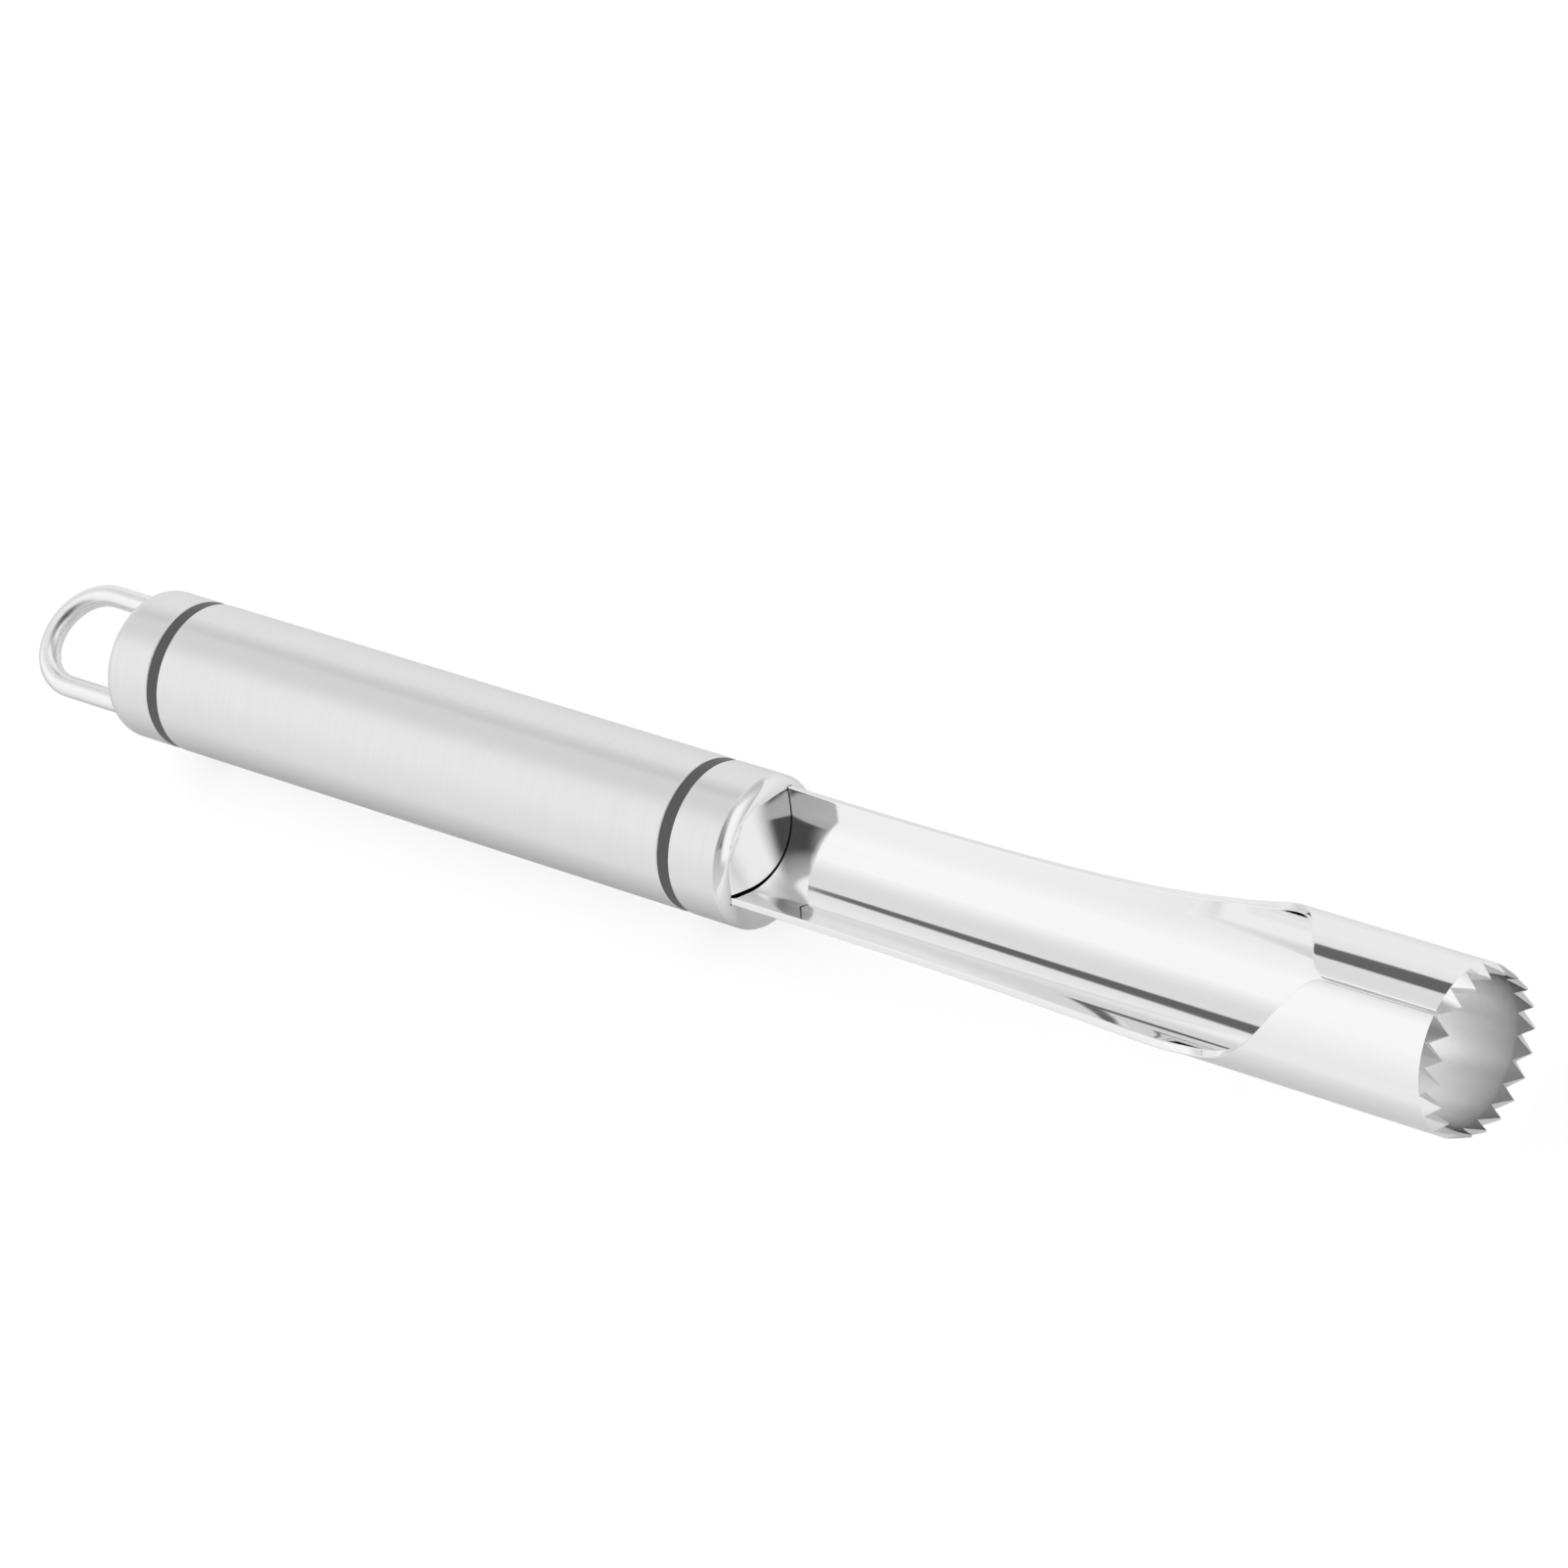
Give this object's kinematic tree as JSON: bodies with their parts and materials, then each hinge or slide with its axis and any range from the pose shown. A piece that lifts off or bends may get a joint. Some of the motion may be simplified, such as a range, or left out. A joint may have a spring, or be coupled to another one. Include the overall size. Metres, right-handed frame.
{
  "type": "apple corer",
  "caption": "Corer for apples: a rolled steel blade that runs from a trough into a toothed tube, on a round steel handle with dark spacer rings and a wire hanging loop.",
  "frame": {"origin": "middle of the length and width, on the plane that the handle lies on", "axes": "+X from the hanging loop to the teeth, +Z out of the blade's open side"},
  "size_m": [0.2258, 0.0198, 0.0281],
  "materials": {
    "brushed_steel": "finely brushed stainless steel",
    "polished_steel": "polished stainless steel",
    "ring_plastic": "satin dark grey",
    "core_plastic": "moulded, hidden in the handle"
  },
  "bodies": {
    "root": {"corer_blade": "polished_steel", "front_ferrule": "brushed_steel", "front_ring": "ring_plastic", "handle_tube": "brushed_steel", "rear_ring": "ring_plastic", "rear_cap": "brushed_steel", "hanging_loop": "polished_steel", "front_plug": "core_plastic", "rear_plug": "core_plastic", "blade_pin": "polished_steel"}
  },
  "joints": []
}
